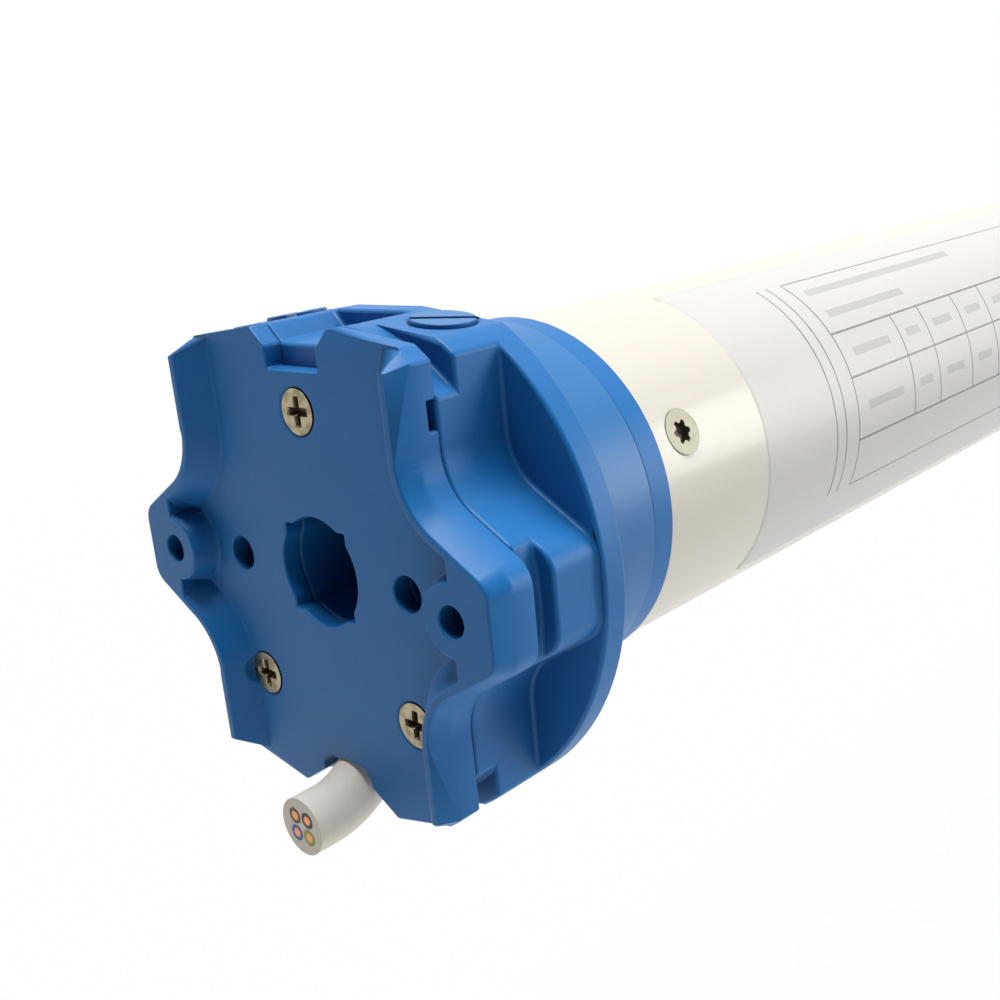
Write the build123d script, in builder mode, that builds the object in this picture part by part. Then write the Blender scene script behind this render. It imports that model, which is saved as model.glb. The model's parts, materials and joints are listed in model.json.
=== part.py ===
from build123d import *
import os
from math import atan, cos, degrees, pi, radians, sin, sqrt, tan

# Tubular roller blind motor, in millimetres.
# The motor's axis is X: the head faces -X and the output shaft leaves at +X.
# Z is up, on the side of the two limit-adjusting screws.
# The origin is the mouth of the square socket, on the recessed face of the head.
# A share is a part of the tube's radius, unless its comment says otherwise.

full_turn = 360.0
half_turn = full_turn / 2
quarter_turn = half_turn / 2

# Clearances and overruns
running_gap = 0.05        # radial gap of a turning or sliding fit
slip_gap = 0.3            # gap between pieces that only pass each other
overrun = 1.0             # how far a cut runs past what it cuts

# Stations along the axis
rim_height = 3.2          # rim and ear bosses stand this far forward of the face
cover_thickness = 2.4
neck_groove_width = 2.9   # turned groove behind the cover, for a bracket's clip
flange_start = 11.9
flange_thickness = 3.5
ring_length = 15.6        # limit ring, turned by the roller tube
collar_lip = 3.7
spigot_length = 14.5      # part of the collar that the tube slides over
overall_length = 455.0    # from the rim of the head to the end of the shaft

# Outline of the head, seen along the axis
lobe_half_width = 19.5
roof_height = 27.5
roof_flat_half = 5.5
roof_angle = 7.2          # fall of the roof planes, in degrees
floor_height = 28.2
floor_flat_half = 8.5
floor_angle = 12.5
flange_radius = 31.3
ear_reach = 30.4
ear_root_half = 11.4      # sharp corner between a lobe and an ear
ear_tip_half = 4.85
scallop_radius = 7.1
ear_corner_radius = 3.4
neck_groove_radius = 28.4

# Face of the cover
bevel_depth = 2.8
bevel_width = 0.9
rim_top_width = 0.9
rim_wall_angle = 38.0
rim_end_drop = 1.6        # the rims' ends fall away towards the roof
boss_radius = 4.0
boss_flare = 0.8
socket_radius = 6.4
socket_side = 10.3
socket_depth = 12.0
plate_hole_spacing = 29.0
plate_hole_radius = 2.05
plate_hole_depth = 9.0
ear_hole_spacing = 48.4
ear_hole_radius = 1.7
ear_hole_depth = 10.0
cover_screw_from_roof = 9.2
cover_screw_low = 15.3
cover_screw_side = 13.3
cover_screw_radius = 1.5
cover_screw_head = 2.65
cover_screw_ring = 0.2    # open ring between a head and its countersink
cover_screw_length = 10.0
recess_span_share = 1.3   # of a screw head's radius
recess_arm_share = 0.36
recess_depth_share = 0.4
recess_taper_angle = 15.0
lobe_core_share = 0.38
lobe_share = 0.13
lobe_count = 6
notch_half_width = 4.4
notch_depth = 4.7
channel_depth = 2.2       # hollow between the roofs, behind the notch
channel_half_floor = 4.5
channel_half_top = 6.6
slot_half_width = 4.2
slot_ceiling = 23.3
slot_mouth_half = 8.2
slot_mouth_rise = 2.6
slot_round = 2.0
window_depth = 1.2
window_height = 3.1
window_from_roof = 8.5

# Supply cable, cut short a little in front of the head
lead_radius = 3.5
lead_height = 28.4        # below the axis
lead_reach = 7.3          # in front of the face
lead_bend_from_face = 4.0
lead_bend_radius = 10.0
lead_bend_angle = 50.0
lead_inner_run = 19.9
core_tail = 5.5           # length of the cores past the jacket
core_radius = 0.95
core_pitch_radius = 1.55
core_count = 4

# Neck of the head and what turns on it
neck_share = 0.84
neck_bore_share = 0.7067
neck_step = 10.3          # front bearing length of the limit ring
cavity_start = 13.6
limit_ring_step = 0.7     # the ring stands this far proud of the tube
limit_ring_key_width = 4.0
limit_ring_key_depth = 1.0
collar_step = 0.4

# Limit ring gear and its pinion
limit_ring_pitch_share = 0.85333
limit_ring_teeth = 48
limit_pinion_teeth = 16
limit_gear_width = 4.0
limit_shaft_radius = 1.5

# Limit-adjusting screws in the roof
adjuster_station = 11.2
adjuster_side_share = 0.5511
adjuster_head_radius = 3.6
adjuster_head_depth = 3.0
adjuster_rise = 0.4       # heads stand this far proud of the roofs
adjuster_slot_width = 1.1
adjuster_slot_depth = 1.2
adjuster_slot_angle = 43.0
adjuster_shaft_radius = 1.8
adjuster_grip = 3.0       # length held in the limit switch's arm
arm_width_share = 0.249
arm_top_share = 0.4
arm_height_share = 0.2667
arm_start = 7.6

# Housing tube
tube_radius = 22.5
tube_wall = 1.2
tube_screw_from_collar = 5.7
tube_screw_radius = 1.5
tube_screw_head = 3.0
tube_screw_clear = 1.0    # from the screw's tip to the bore of the neck
tube_screw_count = 3
tube_screw_angle = 157.7  # of the first, about the axis from +Y towards +Z
end_screw_from_end = 10.0
end_screw_length = 5.0
label_start = 22.4        # from the collar
label_length = 118.0
label_thickness = 0.15
label_arc_angle = 118.0
label_middle_angle = 163.0

# Limit switch unit, in the tube behind the neck
unit_length = 44.0
unit_plate = 2.2
unit_plate_start = 22.6
unit_post_radius = 1.7
unit_post_inset = 2.9     # from the bore of the neck
unit_post_angle = 60.0
unit_post_count = 3
terminal_block_width = 16.0
terminal_block_height = 8.0
terminal_block_top = 1.0
terminal_block_screw = 1.6
switch_length = 20.0
switch_width = 6.4
switch_height = 9.4
switch_headroom = 0.5
switch_side = 6.0
switch_inset = 8.0
switch_button = 1.0
switch_button_offset = 5.0
switch_chamfer = 0.5

# Capacitor, brake and motor
component_gap = 6.0
capacitor_clearance = 1.5 # from the wiring loom
capacitor_length_share = 0.235    # length shares are parts of the room that the fixed pieces leave
capacitor_rim = 1.5
tab_width = 6.3
tab_length = 4.5
tab_thickness = 0.8
tab_spacing = 12.0
holder_width = 7.0
loom_radius = 1.8
brake_clearance = 0.2     # from the wiring loom
brake_wall = 2.4
brake_floor = 3.0
brake_length = 19.0
coil_core_share = 0.476   # of the brake's radius
core_bore_radius = 4.0
spring_seat_wall = 1.7
spring_height = 2.6
armature_gap = 0.8        # travel of the armature when the coil pulls it
armature_thickness = 3.0
friction_thickness = 2.6
shield_thickness = 7.0
bearing_radius = 7.0
bearing_width = 4.4
motor_shaft_radius = 3.0
rotor_share = 0.529
air_gap = 0.35
stator_length_share = 0.324
end_turn_length = 8.5
slot_count = 12
slot_width = 3.0
slot_mouth = 1.2
slot_lip = 1.2            # from the bore to the slot
stator_yoke = 2.85
end_ring_length = 3.0     # short-circuit rings of the rotor
pillar_radius = 2.0
pillar_inset = 2.3        # from the bore of the tube
pillar_angle = 90.0
pillar_count = 3

# Planetary gearbox, three stages in one ring gear
ring_gear_wall = 3.7
sun_teeth = 9
planet_teeth = 15
ring_teeth = 39
planet_count = 3
stage_width_shares = [0.0607, 0.085, 0.1215]
carrier_thickness = 3.2
planet_pin_radius = 2.4
carrier_clearance = 2.15  # from the ring gear's pitch circle
stage_gap = 0.5
tooth_share = 0.40        # tooth thickness as a share of the pitch
addendum_share = 0.80     # of the module
dedendum_share = 1.15
pressure_angle = 20.0

# Drive end
end_cap_lip = 3.0
bush_length = 10.0
bush_wall = 2.0
output_radius = 6.0
journal_radius = 8.0
output_reach = 20.0       # past the end cap
journal_reach = 0.5
drive_flat = 8.2          # across the two flats of the shaft's end
drive_flat_length = 12.0
drive_end_step = 1.1      # the flatted end is turned down by this, so that hubs pass its clip
clip_thickness = 1.2
clip_from_end = 3.0
clip_opening = 5.6
clip_radius = 5.9
clip_seat_radius = 3.9

# Worked-out stations
rim_front = -rim_height
face = 0
body_start = face + cover_thickness
flange_end = flange_start + flange_thickness
ring_start = flange_end + slip_gap
ring_end = ring_start + ring_length
collar_start = ring_end + slip_gap
tube_start = collar_start + collar_lip
spigot_end = tube_start + spigot_length
shaft_end = overall_length - rim_height
tube_inner = tube_radius - tube_wall
fit_radius = tube_inner - running_gap
collar_radius = tube_radius + collar_step
limit_ring_radius = tube_radius + limit_ring_step
neck_radius = tube_radius * neck_share
neck_bore_radius = tube_radius * neck_bore_share
tube_screw_length = tube_radius - neck_bore_radius - tube_screw_clear
notch_floor = roof_height - notch_depth
channel_floor = roof_height - channel_depth
window_middle = roof_height - window_from_roof
cover_screw_places = [
    (0, roof_height - cover_screw_from_roof),
    (cover_screw_side, -cover_screw_low),
    (-cover_screw_side, -cover_screw_low),
]
cover_screw_seat = cover_screw_head + cover_screw_ring
tube_screw_place = tube_start + tube_screw_from_collar
tube_screw_angles = [
    tube_screw_angle + full_turn * screw / tube_screw_count
    for screw in range(tube_screw_count)
]
unit_start = spigot_end + slip_gap
unit_end = unit_start + unit_length
cap_end = shaft_end - output_reach
tube_end = cap_end - end_cap_lip
stage_count = len(stage_width_shares)
stator_clearance = end_turn_length + slip_gap
stage_extra = 2 * stage_gap + carrier_thickness
brake_stack = brake_length + armature_gap + armature_thickness + friction_thickness + 2 * running_gap
motor_stack = 2 * shield_thickness + 2 * stator_clearance
room = tube_end - unit_end - 3 * component_gap - brake_stack - motor_stack - stage_count * stage_extra
capacitor_length = room * capacitor_length_share
stator_length = room * stator_length_share
stage_widths = [room * share for share in stage_width_shares]
capacitor_start = unit_end + component_gap
capacitor_end = capacitor_start + capacitor_length
brake_start = capacitor_end + 2 * component_gap
coil_end = brake_start + brake_length
armature_start = coil_end + armature_gap
armature_end = armature_start + armature_thickness
friction_start = armature_end + running_gap
friction_end = friction_start + friction_thickness
shield_start = friction_end + running_gap
shield_end = shield_start + shield_thickness
stator_start = shield_end + stator_clearance
stator_end = stator_start + stator_length
rear_shield_start = stator_end + stator_clearance
rear_shield_end = rear_shield_start + shield_thickness
gearbox_start = rear_shield_end
gear_end = gearbox_start + sum(stage_widths) + stage_count * stage_extra
end_screw_place = tube_end - end_screw_from_end
clip_start = shaft_end - clip_from_end - clip_thickness

roof_fall = tan(radians(roof_angle))
floor_rise = tan(radians(floor_angle))
ring_pitch_radius = fit_radius - ring_gear_wall
gear_module = 2 * ring_pitch_radius / ring_teeth
planet_orbit = gear_module * (sun_teeth + planet_teeth) / 2
carrier_radius = ring_pitch_radius - carrier_clearance
limit_ring_pitch = tube_radius * limit_ring_pitch_share
limit_module = 2 * limit_ring_pitch / limit_ring_teeth
limit_pinion_pitch = limit_module * limit_pinion_teeth / 2
limit_pinion_orbit = limit_ring_pitch - limit_pinion_pitch
neck_rear_radius = limit_ring_pitch - addendum_share * limit_module - slip_gap
limit_gear_start = ring_start + neck_step + slip_gap
loom_place = tube_inner - loom_radius - slip_gap
capacitor_radius = loom_place - loom_radius - capacitor_clearance
brake_radius = loom_place - loom_radius - brake_clearance
coil_core_radius = brake_radius * coil_core_share
spring_radius = coil_core_radius - spring_seat_wall
pillar_orbit = tube_inner - pillar_inset
rotor_radius = tube_radius * rotor_share
slot_reach = fit_radius - stator_yoke
adjuster_side = tube_radius * adjuster_side_share
arm_width = tube_radius * arm_width_share
arm_top = tube_radius * arm_top_share
arm_height = tube_radius * arm_height_share
arm_side = adjuster_side - (roof_height - arm_top) * roof_fall
arm_middle = arm_top - arm_height / 2
adjuster_length = roof_height - arm_top + adjuster_grip
unit_post_orbit = neck_bore_radius - unit_post_inset
switch_top = sqrt(tube_inner ** 2 - (switch_side + switch_width / 2) ** 2) - switch_headroom
switch_floor = switch_top - switch_height

os.makedirs("parts", exist_ok=True)


def write(name, piece):
    """Label a finished piece and write it under its own name."""
    piece.label = name
    export_step(piece, f"parts/{name}.step")


def disc(start, end, outer, inner=0):
    """A turned ring or disc about the motor's axis, between two stations."""
    with BuildPart(mode=Mode.PRIVATE) as turned:
        with BuildSketch(Plane.YZ.offset(start)):
            Circle(outer)
            if inner:
                Circle(inner, mode=Mode.SUBTRACT)
        extrude(amount=end - start)
    return turned.part


def rod(start, end, radius, y, z):
    """A round rod parallel to the motor's axis, centred at y and z."""
    with BuildPart(mode=Mode.PRIVATE) as round_rod:
        with BuildSketch(Plane.YZ.offset(start)):
            with Locations((y, z)):
                Circle(radius)
        extrude(amount=end - start)
    return round_rod.part


def facing_front(station, y=0, z=0):
    """A plane square to the motor's axis that faces forward, with Z up."""
    return Plane(origin=(station, y, z), x_dir=(0, -1, 0), z_dir=(-1, 0, 0))


def radial(station, radius, angle):
    """A plane on the tube at an angle about the axis, from +Y towards +Z, facing outwards."""
    away = (0, cos(radians(angle)), sin(radians(angle)))
    return Plane(origin=(station, radius * away[1], radius * away[2]), x_dir=(1, 0, 0), z_dir=away)


def countersunk(seat, radius, head, length, above=0):
    """A countersunk screw driven down from the plane that its head lies in."""
    top = [(0, above), (head, above)] if above else [(0, 0)]
    with BuildPart(mode=Mode.PRIVATE) as turned:
        with BuildSketch(Plane(origin=seat.origin, x_dir=seat.x_dir, z_dir=-seat.y_dir)):
            with BuildLine():
                Polyline(
                    *top,
                    (head, 0),
                    (radius, radius - head),
                    (radius, -length),
                    (0, -length),
                    close=True,
                )
            make_face()
        revolve(axis=Axis(seat.origin, seat.z_dir))
    return turned.part


def screw_hole(seat, radius, head, length, above=0):
    """The hole for a countersunk screw, a running gap wider all round."""
    return countersunk(seat, radius + running_gap, head + running_gap, length + running_gap, above)


def cross_recess(seat, head):
    """A driver's cross, cut into a screw's head."""
    with BuildPart(mode=Mode.PRIVATE) as cross:
        with BuildSketch(seat):
            Rectangle(head * recess_span_share, head * recess_arm_share)
            Rectangle(head * recess_arm_share, head * recess_span_share)
        extrude(amount=-head * recess_depth_share, taper=recess_taper_angle)
    return cross.part


def lobed_recess(seat, head):
    """A driver's six lobes, cut into a screw's head."""
    with BuildPart(mode=Mode.PRIVATE) as lobes:
        with BuildSketch(seat):
            Circle(head * lobe_core_share)
            with PolarLocations(head * lobe_core_share, lobe_count):
                Circle(head * lobe_share)
        extrude(amount=-head * recess_depth_share)
    return lobes.part


def tooth_points(teeth, module, inward=False):
    """Outline of a spur gear with straight-flanked teeth, the first at angle 0."""
    pitch_radius = module * teeth / 2
    outward = -1 if inward else 1
    tip = pitch_radius + outward * addendum_share * module
    root = pitch_radius - outward * dedendum_share * module
    half = tooth_share * pi * module / 2
    half_tip = half - addendum_share * module * tan(radians(pressure_angle))
    half_root = half + dedendum_share * module * tan(radians(pressure_angle))
    points = []
    for tooth in range(teeth):
        middle = 2 * pi * tooth / teeth
        for radius, offset in ((root, -half_root), (tip, -half_tip), (tip, half_tip), (root, half_root)):
            angle = middle + offset / radius
            points.append((radius * cos(angle), radius * sin(angle)))
    return points


def gear(start, width, teeth, module, turn=0, y=0, z=0, bore=0):
    """An external spur gear on an axis parallel to the motor's."""
    with BuildPart(mode=Mode.PRIVATE) as wheel:
        with BuildSketch(Plane.YZ.offset(start)):
            with Locations(Location((y, z), turn)):
                with BuildSketch(mode=Mode.PRIVATE) as outline:
                    with BuildLine():
                        Polyline(*tooth_points(teeth, module), close=True)
                    make_face()
                add(outline.sketch)
            if bore:
                with Locations((y, z)):
                    Circle(bore, mode=Mode.SUBTRACT)
        extrude(amount=width)
    return wheel.part


def inner_teeth(start, width, teeth, module):
    """The space inside an internal gear, with a gap at angle 0."""
    with BuildPart(mode=Mode.PRIVATE) as space:
        with BuildSketch(Plane.YZ.offset(start)):
            with BuildLine():
                Polyline(*tooth_points(teeth, module, inward=True), close=True)
            make_face()
        extrude(amount=width)
    return space.part.rotate(Axis.X, half_turn / teeth)


# Head outline, shared by the cover and the body

with BuildSketch(Plane.YZ) as head_outline:
    roof_edge = roof_height - (lobe_half_width - roof_flat_half) * roof_fall
    floor_edge = floor_height - (lobe_half_width - floor_flat_half) * floor_rise
    with BuildLine():
        Polyline(
            (0, roof_height),
            (roof_flat_half, roof_height),
            (lobe_half_width, roof_edge),
            (lobe_half_width, ear_root_half),
            (ear_reach, ear_tip_half),
            (ear_reach, -ear_tip_half),
            (lobe_half_width, -ear_root_half),
            (lobe_half_width, -floor_edge),
            (floor_flat_half, -floor_height),
            (0, -floor_height),
            (0, roof_height),
        )
    make_face()
    mirror(about=Plane.YZ)
    scallops = vertices().filter_by(lambda v: abs(abs(v.Y) - ear_root_half) < running_gap)
    fillet(scallops, scallop_radius)
    ear_corners = vertices().filter_by(lambda v: abs(abs(v.Y) - ear_tip_half) < running_gap)
    fillet(ear_corners, ear_corner_radius)
    Circle(flange_radius, mode=Mode.INTERSECT)


# Front cover, a moulded cap with raised rims and ear bosses

bevel_start = rim_front + bevel_depth
bevel_angle = degrees(atan(bevel_width / bevel_depth))
rim_inset = bevel_width + rim_top_width

with BuildPart() as face_recess:
    with BuildSketch(Plane.YZ.offset(rim_front)):
        add(head_outline.sketch_local)
        offset(amount=-rim_inset)
        Rectangle(2 * (lobe_half_width - rim_inset), 2 * (floor_height + rim_height + overrun))
    extrude(amount=rim_height, taper=rim_wall_angle)
    for side in (-1, 1):
        boss_middle = (rim_front + rim_height / 2, side * ear_hole_spacing / 2, 0)
        with Locations(Location(boss_middle, (0, quarter_turn, 0))):
            Cone(boss_radius, boss_radius + boss_flare, rim_height, mode=Mode.SUBTRACT)
        # The ear is flat from the boss out to its tip
        with Locations((rim_front + rim_height / 2, side * (ear_hole_spacing / 2 + ear_reach), 0)):
            Box(rim_height, 2 * ear_reach, 2 * ear_root_half, mode=Mode.SUBTRACT)


def cable_slot(start, depth):
    """The slot under the head that the cable leaves by, with a flared mouth."""
    mouth = floor_height + overrun
    flare_start = floor_height - slot_mouth_rise
    with BuildPart(mode=Mode.PRIVATE) as slot:
        with BuildSketch(Plane.YZ.offset(start)):
            with BuildLine():
                Polyline(
                    (0, -slot_ceiling),
                    (slot_half_width, -slot_ceiling),
                    (slot_half_width, -flare_start),
                    (slot_mouth_half, -floor_height),
                    (slot_mouth_half, -mouth),
                    (0, -mouth),
                    (0, -slot_ceiling),
                )
            make_face()
            mirror(about=Plane.YZ)
            ceiling = vertices().filter_by(lambda v: abs(v.Y + slot_ceiling) < running_gap)
            ceiling_corners = ceiling.filter_by(lambda v: v.X != 0)
            fillet(ceiling_corners, slot_round)
        extrude(amount=depth)
    return slot.part


def socket_space(start, depth):
    """The drive socket: a round bore with the corners of a square."""
    with BuildPart(mode=Mode.PRIVATE) as socket:
        with BuildSketch(Plane.YZ.offset(start)):
            Circle(socket_radius)
            Rectangle(socket_side, socket_side)
        extrude(amount=depth)
    return socket.part


def lead_path(tail=0):
    """Centre line of the supply cable: along the axis, then up into the head."""
    with BuildLine(Plane.XZ) as route:
        straight = Line((face - lead_reach, -lead_height), (face - lead_bend_from_face, -lead_height))
        bend = JernArc(straight @ 1, straight % 1, lead_bend_radius, lead_bend_angle)
        Line(bend @ 1, bend @ 1 + (bend % 1) * (lead_inner_run + tail))
    return route.line


def lead_tube(radius, path):
    """A round tube along the cable's route."""
    with BuildPart(mode=Mode.PRIVATE) as swept:
        with BuildSketch(Plane(origin=path @ 0, z_dir=path % 0)):
            Circle(radius)
        sweep(path=path)
    return swept.part


lead_line = lead_path()
core_line = lead_path(tail=core_tail)

with BuildPart() as front_cover:
    with BuildSketch(Plane.YZ.offset(bevel_start)):
        add(head_outline.sketch_local)
    extrude(amount=body_start - bevel_start)
    with BuildSketch(Plane.YZ.offset(bevel_start)):
        add(head_outline.sketch_local)
    extrude(amount=bevel_depth, dir=(-1, 0, 0), taper=bevel_angle)
    add(face_recess.part, mode=Mode.SUBTRACT)
    # The rims' ends slope back to the roof and the floor
    for level, up in ((roof_edge, 1), (floor_edge, -1)):
        with BuildSketch(Plane.XZ.offset(-lobe_half_width)):
            with BuildLine():
                Polyline(
                    (rim_front - overrun, up * (level - rim_end_drop)),
                    (rim_front, up * (level - rim_end_drop)),
                    (face, up * level),
                    (face, up * (level + 2 * rim_height)),
                    (rim_front - overrun, up * (level + 2 * rim_height)),
                    close=True,
                )
            make_face()
        extrude(amount=2 * lobe_half_width, mode=Mode.SUBTRACT)
    # Notch at the top, flared to the roofs
    with BuildSketch(Plane.YZ.offset(face - overrun)):
        with BuildLine():
            Polyline(
                (-channel_half_top - overrun, roof_height + overrun),
                (-notch_half_width, channel_floor),
                (-notch_half_width, notch_floor),
                (notch_half_width, notch_floor),
                (notch_half_width, channel_floor),
                (channel_half_top + overrun, roof_height + overrun),
                close=True,
            )
        make_face()
    extrude(amount=cover_thickness + 2 * overrun, mode=Mode.SUBTRACT)
    add(cable_slot(face - overrun, cover_thickness + 2 * overrun), mode=Mode.SUBTRACT)
    add(lead_tube(lead_radius + slip_gap, core_line), mode=Mode.SUBTRACT)
    add(socket_space(face - overrun, cover_thickness + 2 * overrun), mode=Mode.SUBTRACT)
    for y, z in cover_screw_places:
        add(screw_hole(facing_front(face, y, z), cover_screw_radius, cover_screw_seat, cover_screw_length,
                       above=rim_height + overrun), mode=Mode.SUBTRACT)
    with Locations(facing_front(face)):
        with GridLocations(plate_hole_spacing, 0, 2, 1):
            Hole(plate_hole_radius, depth=cover_thickness + overrun)
    with Locations(facing_front(rim_front)):
        with GridLocations(ear_hole_spacing, 0, 2, 1):
            Hole(ear_hole_radius, depth=rim_height + cover_thickness + overrun)
    # Snap windows in the upper lobes' flanks
    for side in (-1, 1):
        with Locations((body_start - window_depth / 2, side * lobe_half_width, window_middle)):
            Box(window_depth, 2 * window_depth, window_height, mode=Mode.SUBTRACT)

write("front_cover", front_cover.part)

# Head body: lobes, flange and neck in one moulding


def tilted(side, rise=0):
    """The plane of a limit-adjusting screw, on the roof at one side, facing out of it."""
    roof_here = roof_height - (adjuster_side - roof_flat_half) * roof_fall
    tilt = radians(roof_angle)
    normal = (0, side * sin(tilt), cos(tilt))
    middle = (adjuster_station, side * adjuster_side, roof_here)
    return Plane(origin=middle, x_dir=(1, 0, 0), z_dir=normal).offset(rise)


def core_tube(radius, path, core):
    """A round tube beside the cable's centre line, for one of its cores."""
    turn = radians(full_turn * core / core_count + half_turn / core_count)
    with BuildPart(mode=Mode.PRIVATE) as swept:
        with BuildSketch(Plane(origin=path @ 0, z_dir=path % 0)):
            with Locations((core_pitch_radius * cos(turn), core_pitch_radius * sin(turn))):
                Circle(radius)
        sweep(path=path)
    return swept.part


def loom_notch(start, length, gap=0):
    """The notch that lets the wiring loom pass along the bottom of the tube."""
    with BuildPart(mode=Mode.PRIVATE) as notch:
        add(rod(start - overrun, start + length + overrun, loom_radius + slip_gap + gap, 0, -loom_place))
        with Locations((start + length / 2, 0, -tube_radius)):
            Box(length + 2 * overrun, 2 * (loom_radius + slip_gap + gap), 2 * (tube_radius - loom_place))
    return notch.part


def pillars(start, end, radius):
    """Rods round the rim of the motor that carry its brake."""
    with BuildPart(mode=Mode.PRIVATE) as rods:
        with BuildSketch(Plane.YZ.offset(start)):
            with PolarLocations(pillar_orbit, pillar_count, start_angle=pillar_angle):
                Circle(radius)
        extrude(amount=end - start)
    return rods.part


with BuildPart() as head_body:
    with BuildSketch(Plane.YZ.offset(body_start)):
        add(head_outline.sketch_local)
    extrude(amount=flange_start - body_start)
    with BuildSketch(Plane.YZ.offset(body_start)):
        Circle(flange_radius + overrun)
        Circle(neck_groove_radius, mode=Mode.SUBTRACT)
    extrude(amount=neck_groove_width, mode=Mode.SUBTRACT)
    # Hollow between the roofs
    with BuildSketch(Plane.YZ.offset(body_start)):
        with BuildLine():
            Polyline(
                (-channel_half_top, roof_height + overrun),
                (-channel_half_top, roof_height),
                (-channel_half_floor, channel_floor),
                (channel_half_floor, channel_floor),
                (channel_half_top, roof_height),
                (channel_half_top, roof_height + overrun),
                close=True,
            )
        make_face()
    extrude(amount=flange_start - body_start, mode=Mode.SUBTRACT)
    # Flange, cut along the roofs
    with BuildSketch(Plane.YZ.offset(flange_start)):
        with BuildLine():
            Polyline(
                (-flange_radius, -flange_radius),
                (-flange_radius, roof_height - (flange_radius - roof_flat_half) * roof_fall),
                (-roof_flat_half, roof_height),
                (roof_flat_half, roof_height),
                (flange_radius, roof_height - (flange_radius - roof_flat_half) * roof_fall),
                (flange_radius, -flange_radius),
                close=True,
            )
        make_face()
        Circle(flange_radius, mode=Mode.INTERSECT)
    extrude(amount=flange_thickness)
    add(disc(flange_end, ring_start + neck_step, neck_radius))
    add(disc(ring_start + neck_step, spigot_end, neck_rear_radius))
    # Cavity from behind, with pockets for the limit switch's arms
    add(disc(cavity_start, spigot_end + overrun, neck_bore_radius), mode=Mode.SUBTRACT)
    for side in (-1, 1):
        pocket_width = arm_width + 2 * slip_gap
        pocket_height = arm_height + 2 * slip_gap
        pocket_length = cavity_start - arm_start + slip_gap
        with Locations((cavity_start - pocket_length / 2, side * arm_side, arm_middle)):
            Box(pocket_length, pocket_width, pocket_height, mode=Mode.SUBTRACT)
        with BuildSketch(tilted(side)):
            Circle(adjuster_head_radius + running_gap)
        extrude(amount=adjuster_rise - adjuster_head_depth - running_gap, mode=Mode.SUBTRACT)
        with BuildSketch(tilted(side)):
            Circle(adjuster_head_radius + running_gap)
        extrude(amount=overrun, mode=Mode.SUBTRACT)
        with BuildSketch(tilted(side)):
            Circle(adjuster_shaft_radius + running_gap)
        extrude(amount=adjuster_rise - adjuster_length - running_gap, mode=Mode.SUBTRACT)
    # Window that the limit pinion reaches through
    with Locations((limit_gear_start + limit_gear_width / 2, limit_ring_pitch, 0)):
        Box(limit_gear_width + 2 * slip_gap, 2 * limit_pinion_pitch, 2 * (limit_pinion_pitch + overrun),
            mode=Mode.SUBTRACT)
    add(socket_space(body_start, socket_depth - body_start), mode=Mode.SUBTRACT)
    add(cable_slot(body_start, neck_groove_width), mode=Mode.SUBTRACT)
    add(lead_tube(lead_radius + slip_gap, core_line), mode=Mode.SUBTRACT)
    for y, z in cover_screw_places:
        add(screw_hole(facing_front(face, y, z), cover_screw_radius, cover_screw_seat, cover_screw_length),
            mode=Mode.SUBTRACT)
    with Locations(facing_front(face)):
        with GridLocations(plate_hole_spacing, 0, 2, 1):
            Hole(plate_hole_radius, depth=plate_hole_depth)
        with GridLocations(ear_hole_spacing, 0, 2, 1):
            Hole(ear_hole_radius, depth=ear_hole_depth)
    for angle in tube_screw_angles:
        add(screw_hole(radial(tube_screw_place, tube_radius, angle), tube_screw_radius, tube_screw_head,
                       tube_screw_length), mode=Mode.SUBTRACT)

write("head_body", head_body.part)

# Screws of the cover and of the tube, each cut for its driver

for number, (y, z) in enumerate(cover_screw_places, 1):
    seat = facing_front(face, y, z)
    with BuildPart() as cover_screw:
        add(countersunk(seat, cover_screw_radius, cover_screw_head, cover_screw_length))
        add(cross_recess(seat, cover_screw_head), mode=Mode.SUBTRACT)
    write(f"cover_screw_{number}", cover_screw.part)

for number, angle in enumerate(tube_screw_angles, 1):
    seat = radial(tube_screw_place, tube_radius, angle)
    with BuildPart() as tube_screw:
        add(countersunk(seat, tube_screw_radius, tube_screw_head, tube_screw_length))
        add(lobed_recess(seat, tube_screw_head), mode=Mode.SUBTRACT)
    write(f"tube_screw_{number}", tube_screw.part)

    seat = radial(end_screw_place, tube_radius, angle)
    with BuildPart() as end_screw:
        add(countersunk(seat, tube_screw_radius, tube_screw_head, end_screw_length))
        add(lobed_recess(seat, tube_screw_head), mode=Mode.SUBTRACT)
    write(f"end_screw_{number}", end_screw.part)

# Supply cable and its cores, which run on to the terminal block

with BuildPart() as power_lead:
    add(lead_tube(lead_radius, lead_line))
    for core in range(core_count):
        add(core_tube(core_radius + running_gap, lead_line, core), mode=Mode.SUBTRACT)

write("power_lead", power_lead.part)

block_floor = terminal_block_top - terminal_block_height

with BuildPart() as lead_cores:
    for core in range(core_count):
        add(core_tube(core_radius, core_line, core))
    split(bisect_by=Plane.XY.offset(block_floor), keep=Keep.BOTTOM)

write("lead_cores", lead_cores.part)

block_start = cavity_start + slip_gap

with BuildPart() as terminal_block:
    with BuildSketch(Plane.YZ.offset(block_start)):
        with Locations((0, terminal_block_top - terminal_block_height / 2)):
            Rectangle(terminal_block_width, terminal_block_height)
    extrude(amount=unit_plate_start - block_start)
    top = faces().sort_by(Axis.Z)[-1]
    with Locations(Plane(top)):
        with GridLocations(0, terminal_block_width / core_count, 1, core_count):
            Hole(terminal_block_screw, depth=terminal_block_height / 2)

write("terminal_block", terminal_block.part)

# Limit-adjusting screws, turned from the roof

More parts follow.
